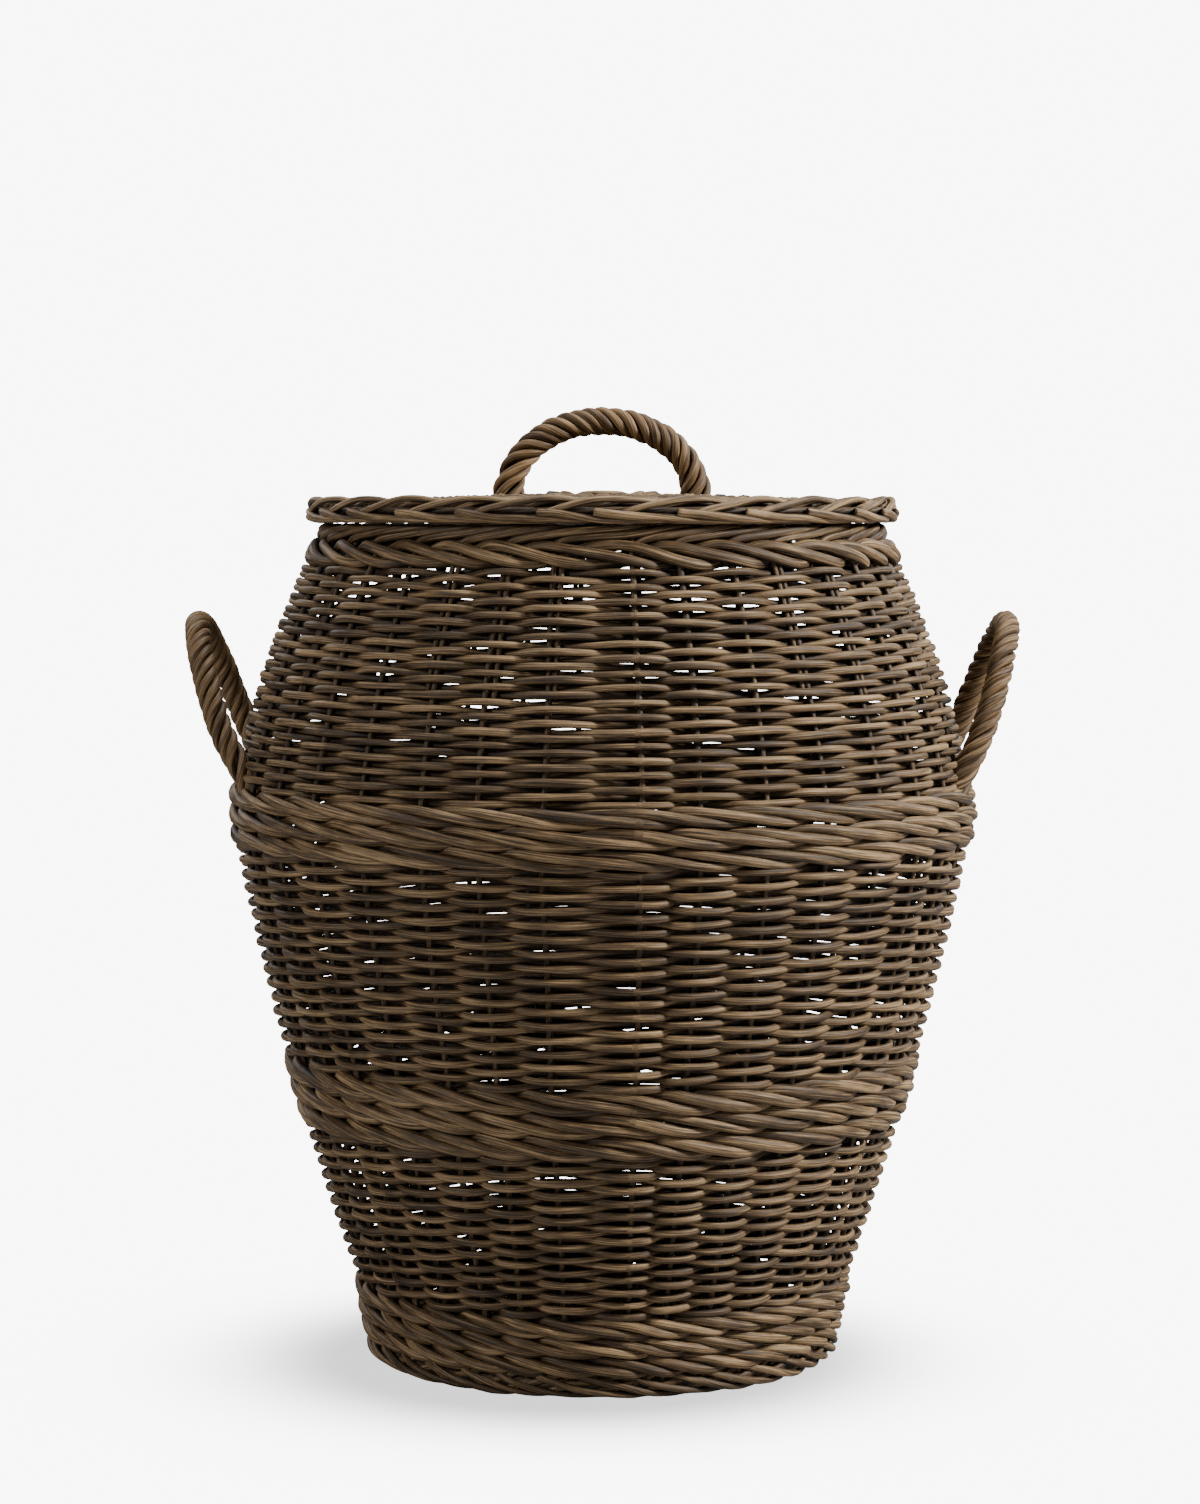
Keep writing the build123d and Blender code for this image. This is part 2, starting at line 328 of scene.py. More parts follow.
def rod_mesh(name: str, rods: Rods, sides: int) -> bpy.types.Object:
    """Builds one mesh of tubes from paths.

    Each sample carries an ellipse: centre + depth·cos(a)·up + across·sin(a)·side, where side is
    the tangent crossed with the facing direction and up is side crossed with the tangent.

    Args:
        name: name of the piece.
        rods: the paths.
        sides: corners of each section.

    Returns:
        The new object, with attributes shade, cut and grain for its material.
    """
    lengths = np.linalg.norm(np.diff(rods.centre, axis=1), axis=-1)
    if not rods.closed:
        rods = rods.capped()
    count, samples = rods.centre.shape[:2]
    along = tangents(rods.centre, rods.closed)
    side = np.cross(along, rods.facing)
    side /= np.linalg.norm(side, axis=-1, keepdims=True)
    up = np.cross(side, along)
    turn = np.arange(sides) * (2 * np.pi / sides)
    points = (
        rods.centre[:, :, None]
        + (rods.depth[..., None] * np.cos(turn))[..., None] * up[:, :, None]
        + (rods.across[..., None] * np.sin(turn))[..., None] * side[:, :, None]
    )

    spans = samples if rods.closed else samples - 1
    rod = np.arange(count)[:, None, None] * samples * sides
    here = np.arange(spans)[None, :, None]
    there = (here + 1) % samples
    corner = np.arange(sides)[None, None, :]
    following = (corner + 1) % sides
    quads = np.stack(
        np.broadcast_arrays(
            rod + here * sides + corner,
            rod + here * sides + following,
            rod + there * sides + following,
            rod + there * sides + corner,
        ),
        -1,
    ).reshape(-1, 4)
    loops, starts = quads.ravel(), np.arange(len(quads)) * 4
    if not rods.closed:
        first = (rod[:, 0] + corner[0, :, ::-1]).reshape(-1, sides)
        last = (rod[:, 0] + (samples - 1) * sides + corner[0]).reshape(-1, sides)
        caps = np.concatenate([first, last])
        starts = np.concatenate([starts, loops.size + np.arange(len(caps)) * sides])
        loops = np.concatenate([loops, caps.ravel()])

    mesh = bpy.data.meshes.new(name)
    mesh.vertices.add(count * samples * sides)
    mesh.vertices.foreach_set("co", (points * MM).astype(np.float32).ravel())
    mesh.loops.add(loops.size)
    mesh.loops.foreach_set("vertex_index", loops.astype(np.int32))
    mesh.polygons.add(starts.size)
    mesh.polygons.foreach_set("loop_start", starts.astype(np.int32))
    mesh.update(calc_edges=True)
    mesh.shade_smooth()

    travelled = np.concatenate([np.zeros((count, 1)), np.cumsum(lengths, 1)], 1)
    if not rods.closed:
        travelled = np.concatenate([travelled[:, :1], travelled, travelled[:, -1:]], 1)
    offset = np.arange(count)[:, None] * GRAIN_STEP
    shape = (count, samples, sides)
    grain = np.stack(
        [
            np.broadcast_to((travelled / 10 + offset)[..., None], shape),
            np.broadcast_to(np.cos(turn), shape),
            np.broadcast_to(np.sin(turn) + offset[..., None], shape),
        ],
        -1,
    )
    cut = np.zeros(shape)
    if not rods.closed:
        cut[:, 0] = cut[:, -1] = 1
    for label, values in (
        ("shade", np.broadcast_to(rods.shade[..., None], shape)),
        ("cut", cut),
    ):
        layer = mesh.attributes.new(label, "FLOAT", "POINT")
        layer.data.foreach_set("value", values.astype(np.float32).ravel())
    layer = mesh.attributes.new("grain", "FLOAT_VECTOR", "POINT")
    layer.data.foreach_set("vector", grain.astype(np.float32).ravel())

    made = bpy.data.objects.new(name, mesh)
    bpy.context.scene.collection.objects.link(made)
    return made


def ring_noise(rng: np.random.Generator, rows: int, theta: np.ndarray, low: int, high: int) -> np.ndarray:
    """Smooth periodic noise with a spread of one: a sum of cosines with random phases.

    Args:
        rng: source of randomness.
        rows: how many separate noises.
        theta: angles.
        low: slowest wave, in cycles per turn.
        high: fastest wave.

    Returns:
        Array of rows by angles.
    """
    cycles = np.arange(low, high + 1)
    phase = rng.uniform(0, 2 * np.pi, (rows, 1, cycles.size))
    size = rng.normal(0, 1, (rows, 1, cycles.size)) / np.sqrt(cycles.size / 2)
    return (size * np.cos(cycles * theta[None, :, None] + phase)).sum(-1)


def along_noise(rng: np.random.Generator, rods: int, samples: int, waves: int) -> np.ndarray:
    """Smooth noise along open rods.

    Args:
        rng: source of randomness.
        rods: how many rods.
        samples: samples along each.
        waves: fastest wave, in half cycles along a rod.

    Returns:
        Array of rods by samples.
    """
    return ring_noise(rng, rods, np.linspace(0, np.pi, samples), 1, waves)


def smooth_path(points: np.ndarray, samples: int) -> np.ndarray:
    """Runs a smooth curve through points, by cubic segments with neighbour slopes.

    Args:
        points: knots by values.
        samples: points wanted along the curve.

    Returns:
        Array of samples by values.
    """
    knots = np.asarray(points, float)
    slopes = np.gradient(knots, axis=0)
    t = np.linspace(0, len(knots) - 1, samples)
    i = np.minimum(t.astype(int), len(knots) - 2)
    f = (t - i)[:, None]
    a, b, da, db = knots[i], knots[i + 1], slopes[i], slopes[i + 1]
    return (
        a * (2 * f**3 - 3 * f**2 + 1)
        + da * (f**3 - 2 * f**2 + f)
        + b * (3 * f**2 - 2 * f**3)
        + db * (f**3 - f**2)
    )


@dataclass(frozen=True)
class Spacing:
    """Angles of the stakes, which stand a little unevenly.

    Attributes:
        count: number of stakes.
        first: angle of the first, in degrees.
        spread: typical error of a stake's angle, in degrees.
        wide: stake before which the gap is wider, or -1.
    """

    count: int
    first: float
    spread: float = 0.0
    wide: int = -1

    def errors(self) -> np.ndarray:
        """Error of each stake's angle, the same on every call.

        Returns:
            Errors in radians.
        """
        rng = np.random.default_rng(SEED + self.count)
        found = rng.normal(0, self.spread, self.count)
        if self.wide >= 0:
            found[[self.wide, self.wide - 1]] += WIDE_GAP
        return np.radians(found)

    def angle(self, u: np.ndarray) -> np.ndarray:
        """Angle of a place counted in stakes.

        Args:
            u: places, where whole numbers are stakes.

        Returns:
            Angles in radians.
        """
        errors = self.errors()
        low = np.floor(u).astype(int)
        part = u - low
        part = part * part * (3 - 2 * part)
        error = errors[low % self.count] * (1 - part) + errors[(low + 1) % self.count] * part
        return radians(self.first) + u * (2 * np.pi / self.count) + error


@dataclass(frozen=True)
class Ground:
    """What a part is woven on.

    Attributes:
        surface: where the stakes lie.
        spacing: angles of the stakes.
        body: the body that carries them.
    """

    surface: Wall | Disc
    spacing: Spacing
    body: Body


SIDE = Ground(Wall(), Spacing(STAKES, STAKE_TURN, 0.55, 0), Body.BASKET)
BASE = Ground(Disc(22.0, 0.0, 144.0), Spacing(STAKES, 180 / STAKES, 0.3), Body.BASKET)
LID = Ground(Disc(577.4, 5.2, 168.0), Spacing(LID_SPOKES, 180 / LID_SPOKES, 0.3), Body.LID)


# ---------------------------------------------------------------- finishes


@dataclass(frozen=True)
class Wiring:
    """Adds nodes to one tree and links them.

    Attributes:
        tree: the tree.
    """

    tree: bpy.types.NodeTree

    def feed(self, value: object, socket: bpy.types.NodeSocket) -> None:
        """Gives an input its value.

        Args:
            value: a number, a vector, or the output of another node.
            socket: the input.
        """
        if isinstance(value, bpy.types.NodeSocket):
            self.tree.links.new(value, socket)
        else:
            socket.default_value = value

    def maths(self, operation: str, *values: object, kind: str = "Math") -> bpy.types.NodeSocket:
        """Adds a maths node.

        Args:
            operation: what it works out.
            *values: what goes into it, in order.
            kind: Math, or VectorMath for a number worked out from vectors.

        Returns:
            Its result.
        """
        node = self.tree.nodes.new(f"ShaderNode{kind}")
        node.operation = operation
        for value, socket in zip(values, node.inputs):
            self.feed(value, socket)
        return node.outputs["Value"]

    def read(self, name: str) -> bpy.types.Node:
        """Reads one attribute of the mesh.

        Args:
            name: name of the attribute.

        Returns:
            The node that reads it.
        """
        node = self.tree.nodes.new("ShaderNodeAttribute")
        node.attribute_name = name
        return node

    def noise(self, stretch: tuple[float, ...], scale: float, detail: float) -> bpy.types.NodeSocket:
        """Adds noise over the grain coordinates.

        Args:
            stretch: factors on the coordinates, the first one along the rod.
            scale: fineness of the noise.
            detail: octaves.

        Returns:
            The noise, about 0 to 1.
        """
        mapping = self.tree.nodes.new("ShaderNodeMapping")
        self.feed(self.read("grain").outputs["Vector"], mapping.inputs["Vector"])
        self.feed(stretch, mapping.inputs["Scale"])
        node = self.tree.nodes.new("ShaderNodeTexNoise")
        self.feed(mapping.outputs["Vector"], node.inputs["Vector"])
        self.feed(scale, node.inputs["Scale"])
        self.feed(detail, node.inputs["Detail"])
        self.feed(0.6, node.inputs["Roughness"])
        return node.outputs["Fac"]


@dataclass(frozen=True)
class Rattan:
    """Finish of weathered rattan.

    Attributes:
        slot: which slot the finish is for.
        dark: colour of the darkest streaks.
        mid: main colour.
        pale: colour of worn fibres.
        relief: strength of the fibre bumps.
    """

    slot: Slot
    dark: tuple[float, float, float] = (0.013, 0.006, 0.002)
    mid: tuple[float, float, float] = (0.086, 0.0505, 0.0205)
    pale: tuple[float, float, float] = (0.31, 0.206, 0.105)
    relief: float = 0.35

    def material(self, grain: bpy.types.NodeTree) -> bpy.types.Material:
        """Makes the material.

        Args:
            grain: the shared node group that gives the streak, speckle and relief masks.

        Returns:
            The new material.
        """
        made = bpy.data.materials.new(f"rattan_{self.slot.value}")
        made.use_nodes = True
        tree = made.node_tree
        nodes, links = tree.nodes, tree.links
        shader = nodes["Principled BSDF"]
        masks = nodes.new("ShaderNodeGroup")
        masks.node_tree = grain

        ramp = nodes.new("ShaderNodeValToRGB")
        stops = ramp.color_ramp.elements
        stops[0].position, stops[0].color = 0.08, (*self.dark, 1)
        stops[1].position, stops[1].color = 0.92, (*self.pale, 1)
        middle = stops.new(0.46)
        middle.color = (*self.mid, 1)
        links.new(masks.outputs["Tone"], ramp.inputs["Fac"])
        links.new(ramp.outputs["Color"], shader.inputs["Base Color"])
        links.new(masks.outputs["Roughness"], shader.inputs["Roughness"])

        bump = nodes.new("ShaderNodeBump")
        bump.inputs["Strength"].default_value = self.relief
        bump.inputs["Distance"].default_value = 0.0004
        links.new(masks.outputs["Relief"], bump.inputs["Height"])
        links.new(bump.outputs["Normal"], shader.inputs["Normal"])
        shader.inputs["Specular IOR Level"].default_value = 0.32
        return made


def grain_group() -> bpy.types.NodeTree:
    """Node group that reads a rod's own attributes and gives its masks.

    Fibres run along the rod, and patches and specks break them up. The sides that lie against
    other rods, and the back, are darker: painted shade in the crevices between rods.

    Returns:
        The group, with outputs Tone, Roughness and Relief.
    """
    tree = bpy.data.node_groups.new("rattan_grain", "ShaderNodeTree")
    for label in ("Tone", "Roughness", "Relief"):
        tree.interface.new_socket(label, in_out="OUTPUT", socket_type="NodeSocketFloat")
    result = tree.nodes.new("NodeGroupOutput")
    wiring = Wiring(tree)
    maths, noise = wiring.maths, wiring.noise
    fibres = noise((0.06, 1.0, 1.0), 4.6, 5.0)
    patches = noise((0.35, 0.5, 0.5), 1.3, 3.0)
    specks = noise((1.6, 2.2, 2.2), 4.0, 3.0)
    shade = wiring.read("shade").outputs["Fac"]
    cut = wiring.read("cut").outputs["Fac"]

    tone = maths("MULTIPLY_ADD", shade, 0.36, 0.24)
    tone = maths("MULTIPLY_ADD", maths("SUBTRACT", fibres, 0.5), 2.5, tone)
    tone = maths("MULTIPLY_ADD", maths("SUBTRACT", patches, 0.5), 0.7, tone)
    dark_specks = maths("MAXIMUM", maths("SUBTRACT", 0.40, specks), 0.0)
    tone = maths("MULTIPLY_ADD", dark_specks, -2.2, tone)
    tone = maths("MULTIPLY_ADD", cut, -0.22, tone)
    section = tree.nodes.new("ShaderNodeSeparateXYZ")
    wiring.feed(wiring.read("grain").outputs["Vector"], section.inputs[0])
    # Painted shade: the sides and back of each rod, where it lies against other rods, are darker.
    painted_crevice_shade = maths("MAXIMUM", maths("SUBTRACT", 0.5, section.outputs["Y"]), 0.0)
    tone = maths("MULTIPLY_ADD", maths("MINIMUM", painted_crevice_shade, 1.0), -0.42, tone)
    wiring.feed(tone, result.inputs["Tone"])
    wiring.feed(maths("MULTIPLY_ADD", fibres, 0.3, 0.46), result.inputs["Roughness"])
    wiring.feed(maths("MULTIPLY_ADD", specks, 0.4, fibres), result.inputs["Relief"])
    return tree


FINISHES = (
    Rattan(Slot.WEAVER),
    Rattan(Slot.WALE, relief=0.4),
    Rattan(Slot.STAKE, dark=(0.011, 0.006, 0.003), mid=(0.058, 0.034, 0.015), pale=(0.17, 0.11, 0.055)),
    Rattan(Slot.BORDER),
    Rattan(Slot.ROPE, mid=(0.095, 0.053, 0.02), pale=(0.28, 0.175, 0.08)),
)
MATERIALS: dict[Slot, bpy.types.Material] = {}


def finish_piece(piece: bpy.types.Object, body: Body, slot: Slot, node: str) -> None:
    """Gives a piece its material, body, slot and the node it takes the place of.

    Args:
        piece: the new object.
        body: the body that carries it.
        slot: its material slot.
        node: the CAD node that it replaces.
    """
    piece.data.materials.append(MATERIALS[slot])
    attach(piece, body.value)
    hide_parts(node)
    LOG.info("%s: %d faces", piece.name, len(piece.data.polygons))


# ---------------------------------------------------------------- sub-assemblies


@dataclass
class Band:
    """Ring of weave between two edges on a surface.

    Attributes:
        node: the CAD node it replaces, which also names its pieces.
        ground: what it is woven on.
        low: first edge on the surface.
        high: second edge.
        rows: number of rows, or rounds of a wale.
    """

    node: str
    ground: Ground
    low: float
    high: float
    rows: int


@dataclass
class WovenZone(Band):
    """One zone of over-one under-one weave.

    Attributes:
        weaver: radius of a weaver.
        swing: distance of a weaver's middle from the stake line as it passes a stake.
        recess_shade: how much darker a weaver is painted where it passes to the inner side, behind a
            stake: painted shade in the recess.
        samples: samples for each stake.
        sides: corners of a weaver's section.
    """

    weaver: float = 2.5
    swing: float = 4.7
    recess_shade: float = 0.8
    samples: int = 12
    sides: int = 10

    def build(self, rng: np.random.Generator) -> None:
        """Builds the even and the odd rows as two pieces.

        A row stands out by swing·w(1.3 − 0.3w²), where w is a cosine that turns once in two
        stakes, so it bends round each stake and crosses the wall half way between.

        Args:
            rng: source of randomness.
        """
        step = (self.high - self.low) / self.rows
        u = np.arange(self.ground.spacing.count * self.samples) / self.samples
        theta = self.ground.spacing.angle(u)[None]
        for odd in (0, 1):
            index = np.arange(odd, self.rows, 2)
            rows = index.size
            wave = np.cos(np.pi * (u[None] + odd))
            wave = wave * (1.3 - 0.3 * wave**2)
            reach = self.swing * (1 + 0.06 * ring_noise(rng, rows, theta[0], 8, 30))
            s = (self.low + (index + 0.5) * step)[:, None]
            s = s + 0.05 * step * rng.normal(0, 1, (rows, 1))
            s = s + 0.055 * step * ring_noise(rng, rows, theta[0], 3, 26)
            first, length = rng.uniform(0, self.ground.spacing.count, (2, rows, 1))
            joined = (u[None] - first) % self.ground.spacing.count < length
            pick = rng.uniform(0, 1, (2, rows, 1))
            # Painted shade: a weaver is darker where it passes to the inner side of the wall, behind a
            # stake.
            shade = np.where(joined, pick[0], pick[1]) - self.recess_shade * (wave < 0) * wave**2
            girth = 1 + 0.075 * rng.normal(0, 1, (2, rows, 1)).clip(-1.8, 1.8)
            size = self.weaver * np.where(joined, girth[0], girth[1])
            size = size * (1 + 0.035 * ring_noise(rng, rows, theta[0], 4, 50))
            points, normals = self.ground.surface.place(theta, s, reach * wave)
            rods = Rods(points, normals, size, 0.95 * size, shade)
            piece = rod_mesh(f"{self.node}_{'odd' if odd else 'even'}", rods, self.sides)
            finish_piece(piece, self.ground.body, Slot.WEAVER, self.node)


@dataclass
class Wale(Band):
    """Band of three-rod wale: each rod passes before two stakes and behind one.

    Attributes:
        rod: radius of a rod.
        rise: how far a rod climbs and falls, as a share of a round's height.
        depth: factor on how far a rod stands out.
        samples: samples for each stake.
        sides: corners of a rod's section.
    """

    rod: float = 3.35
    rise: float = 0.33
    depth: float = 1.0
    samples: int = 10
    sides: int = 12

    def build(self, rng: np.random.Generator) -> None:
        """Builds every round as one closed curve of three turns.

        With p the place counted in stakes, modulo three, a rod stands out by
        1.63 − 5.25cos(2πp/3) − 1.28cos(4πp/3) and climbs by sin(2πp/3) + 0.13sin(4πp/3), which
        falls evenly while it is in front, so three turns of one curve lie as three staggered rods.

        Args:
            rng: source of randomness.
        """
        step = (self.high - self.low) / self.rows
        u = np.arange(3 * self.ground.spacing.count * self.samples) / self.samples
        theta = self.ground.spacing.angle(u)[None]
        third = theta[0] / 3
        turn = 2 * np.pi * (u[None] + np.arange(self.rows)[:, None]) / 3
        out = 1.63 - 5.25 * np.cos(turn) - 1.28 * np.cos(2 * turn)
        out = self.depth * out * (1 + 0.05 * ring_noise(rng, self.rows, third, 20, 70))
        climb = self.rise * step * (np.sin(turn) + 0.13 * np.sin(2 * turn))
        s = self.low + (np.arange(self.rows)[:, None] + 0.5) * step + climb
        s = s + 0.022 * step * ring_noise(rng, self.rows, third, 12, 50)
        size = self.rod * (1 + 0.05 * ring_noise(rng, self.rows, third, 1, 12))
        size = size * (1 + 0.03 * ring_noise(rng, self.rows, third, 40, 160))
        shade = (0.6 + 0.28 * ring_noise(rng, self.rows, third, 1, 14)).clip(0, 1)
        # Painted shade: a rod is darker where it lies back behind a stake.
        shade = shade - 0.8 * ((2 - out) / 7).clip(0, 1)
        points, normals = self.ground.surface.place(theta, s, out)
        piece = rod_mesh(self.node, Rods(points, normals, size, size, shade), self.sides)
        finish_piece(piece, self.ground.body, Slot.WALE, self.node)


@dataclass
class Stakes:
    """The upright stakes, some of them doubled near the rim.

    Attributes:
        radius: radius of a stake.
        low: height of the lower ends.
        high: height of the upper ends.
        doubled_from: height where the doubles begin.
        apart: angle from a stake to its double, in radians.
        samples: samples along a stake.
    """

    radius: float = 2.1
    low: float = 9.0
    high: float = 561.0
    doubled_from: float = 455.0
    apart: float = 0.0215
    samples: int = 90

    def build(self, rng: np.random.Generator) -> None:
        """Builds the stakes as one piece and their doubles as another.

        Args:
            rng: source of randomness.
        """
        z = np.linspace(self.low, self.high, self.samples)[None]
        u = np.arange(STAKES)[:, None]
        theta = SIDE.spacing.angle(u.astype(float))
        theta = theta + 0.0022 * along_noise(rng, STAKES, self.samples, 9)
        points, normals = SIDE.surface.place(theta, z + 0 * theta, 0 * theta)
        size = self.radius * (1 + 0.04 * along_noise(rng, STAKES, self.samples, 12))
        shade = rng.uniform(0.1, 0.9, (STAKES, 1)) + 0 * theta
        piece = rod_mesh("stakes", Rods(points, normals, size, size, shade, False), 8)
        finish_piece(piece, SIDE.body, Slot.STAKE, "side_stakes")

        chosen = np.flatnonzero(rng.uniform(0, 1, STAKES) < 0.6)[:, None]
        z = np.linspace(self.doubled_from, self.high - 5, 30)[None]
        side = rng.choice([-1.0, 1.0], chosen.shape)
        theta = SIDE.spacing.angle(chosen.astype(float)) + side * self.apart + 0 * z
        points, normals = SIDE.surface.place(theta, z + 0 * theta, 0 * theta)
        size = 0.88 * self.radius + 0 * theta
        shade = rng.uniform(0.2, 1.0, chosen.shape) + 0 * theta
        piece = rod_mesh("stake_doubles", Rods(points, normals, size, size, shade, False), 8)
        finish_piece(piece, SIDE.body, Slot.STAKE, "side_stakes")


@dataclass
class Border:
    """Border of bent-over rods, one path repeated for every stake.

    Attributes:
        name: name of the piece.
        node: the CAD node it replaces.
        ground: what it ends.
        path: knots of one rod, as place in stakes, radius and height.
        core: radius and height that the rods bend round, which their flat sides face away from.
        rod: radius of a rod.
        wobble: typical error of a rod's place.
        shades: least and greatest lightness.
        beside: places of the rods that lie side by side at each stake.
        fill: radius of the bundle that the rods bend round, or 0 for none.
        samples: samples along a rod.
        sides: corners of a rod's section.
    """

    name: str
    node: str
    ground: Ground
    path: np.ndarray
    core: tuple[float, float]
    rod: float = 2.5
    wobble: float = 0.25
    shades: tuple[float, float] = (0.1, 0.95)
    beside: tuple[float, ...] = (0.0,)
    fill: float = 0.0
    samples: int = 44
    sides: int = 10

    def build(self, rng: np.random.Generator) -> None:
        """Builds the border.

        Args:
            rng: source of randomness.
        """
        if self.fill:
            self.bundle(rng)
        count = self.ground.spacing.count * len(self.beside)
        place, radius, height = smooth_path(self.path, self.samples).T
        ends = 0.06 * rng.normal(0, 1, (count, 1))
        first = np.arange(self.ground.spacing.count)[:, None] + np.array(self.beside)
        u = first.reshape(-1, 1) + place[None] + ends * np.linspace(1, 0, self.samples)
        radius = radius + self.wobble * along_noise(rng, count, self.samples, 5)
        height = height + self.wobble * along_noise(rng, count, self.samples, 5)
        theta = self.ground.spacing.angle(u)
        cos, sin = np.cos(theta), np.sin(theta)
        centre = np.stack([radius * cos, radius * sin, height], -1)
        away = np.stack([radius - self.core[0], height - self.core[1]], -1)
        away /= np.linalg.norm(away, axis=-1, keepdims=True)
        facing = np.stack([away[..., 0] * cos, away[..., 0] * sin, away[..., 1]], -1)
        size = self.rod * (1 + 0.05 * rng.normal(0, 1, (count, 1)))
        size = size * (1 + 0.03 * along_noise(rng, count, self.samples, 8))
        shade = rng.uniform(*self.shades, (count, 1)) + 0 * theta
        piece = rod_mesh(self.name, Rods(centre, facing, size, 0.94 * size, shade, False), self.sides)
        finish_piece(piece, self.ground.body, Slot.BORDER, self.node)

    def bundle(self, rng: np.random.Generator) -> None:
        """Builds the bundle inside the border: three rods that twist round each other.

        Args:
            rng: source of randomness.
        """
        rods, twists, samples = 3, 21, 720
        theta = np.arange(samples) * (2 * np.pi / samples)
        turn = twists * theta[None] + np.arange(rods)[:, None] * (2 * np.pi / rods)
        radius = self.core[0] + 0.22 * self.fill * np.cos(turn)
        height = self.core[1] + 0.22 * self.fill * np.sin(turn)
        centre = np.stack([radius * np.cos(theta), radius * np.sin(theta), height], -1)
        size = 0.84 * self.fill + 0 * radius
        shade = rng.uniform(0.1, 0.5, (rods, 1)) + 0 * radius
        made = Rods(centre, upward(centre), size, size, shade)
        piece = rod_mesh(f"{self.name}_bundle", made, 8)
        finish_piece(piece, self.ground.body, Slot.STAKE, self.node)


@dataclass
class CrossedSticks:
    """Two sets of sticks that cross at the centre and spread to even angles.

    Attributes:
        name: name of the pieces.
        ground: what the sticks carry.
        along: sticks in the set along X.
        across: sticks in the set along Y.
        pitch: distance between two sticks at the centre.
        reach: radius of the sticks' ends.
        lift: distance of each set from the middle surface at the centre.
        stick: radius of a stick.
        level_from: radius from which both sets lie on the middle surface.
        samples: samples along a stick.
    """

    name: str
    ground: Ground
    along: int
    across: int
    pitch: float
    reach: float
    lift: float
    stick: float = 2.0
    level_from: float = 60.0
    samples: int = 81

    def build(self, rng: np.random.Generator) -> None:
        """Builds the two sets.

        A stick runs straight through the crossing, then turns towards its even angle, with a
        smooth step between its place in the square and its place in the fan.

        Args:
            rng: source of randomness.
        """
        spread = np.pi / (self.along + self.across)
        for count, other, turn, sign, level in (
            (self.along, self.across, 0.0, -1.0, "lower"),
            (self.across, self.along, np.pi / 2, 1.0, "upper"),
        ):
            row = (np.arange(count) - (count - 1) / 2)[:, None]
            knee = self.pitch * other / 2 + 2
            t = np.linspace(-self.reach, self.reach, self.samples)[None]
            fan = np.clip((np.abs(t) - knee) / (self.reach - knee), 0, 1)
            x = t * (1 - fan * (1 - np.cos(row * spread)))
            y = row * self.pitch * (1 - fan) + fan * self.reach * np.sin(row * spread)
            radius = np.hypot(x, y)
            near = np.clip(1 - radius / self.level_from, 0, 1)
            z = self.ground.surface.height(radius) + sign * self.lift * near
            cos, sin = np.cos(turn), np.sin(turn)
            centre = np.stack([cos * x - sin * y, sin * x + cos * y, z], -1)
            size = self.stick * (1 + 0.04 * along_noise(rng, count, self.samples, 9))
            shade = rng.uniform(0.2, 0.9, (count, 1)) + 0 * x
            label = f"{self.name}_{level}"
            piece = rod_mesh(label, Rods(centre, upward(centre), size, size, shade, False), 8)
            finish_piece(piece, self.ground.body, Slot.STAKE, label)


@dataclass
class Binding:
    """Rounds that tie the two crossed sets of sticks, over one set and under the other.

    Attributes:
        name: name of the piece.
        node: the CAD node it replaces.
        ground: what it ties.
        inner: radius where it starts.
        outer: radius where it ends.
        rounds: number of rounds.
        weaver: radius of a weaver.
        swing: distance of a weaver's middle from the middle surface as it passes a set.
    """

    name: str
    node: str
    ground: Ground
    inner: float
    outer: float
    rounds: int = 4
    weaver: float = 2.2
    swing: float = 5.6

    def build(self, rng: np.random.Generator) -> None:
        """Builds the rounds, which rise over one set and fall under the other.

        Args:
            rng: source of randomness.
        """
        samples = 200
        theta = np.arange(samples) * (2 * np.pi / samples)
        index = np.arange(self.rounds)[:, None]
        s = self.inner + (index + 0.5) * (self.outer - self.inner) / self.rounds
        square = 1 + 0.06 * np.cos(4 * theta)[None]
        wave = -np.tanh(2.2 * np.cos(2 * theta + np.pi * index))
        noise = 0.12 * ring_noise(rng, self.rounds, theta, 3, 20)
        s = s * square + noise
        points, normals = self.ground.surface.place(theta[None], s, self.swing * wave)
        size = self.weaver + 0 * s
        shade = rng.uniform(0.2, 1, (self.rounds, 1)) + 0 * size
        piece = rod_mesh(self.name, Rods(points, normals, size, size, shade), 10)
        finish_piece(piece, self.ground.body, Slot.WEAVER, self.node)


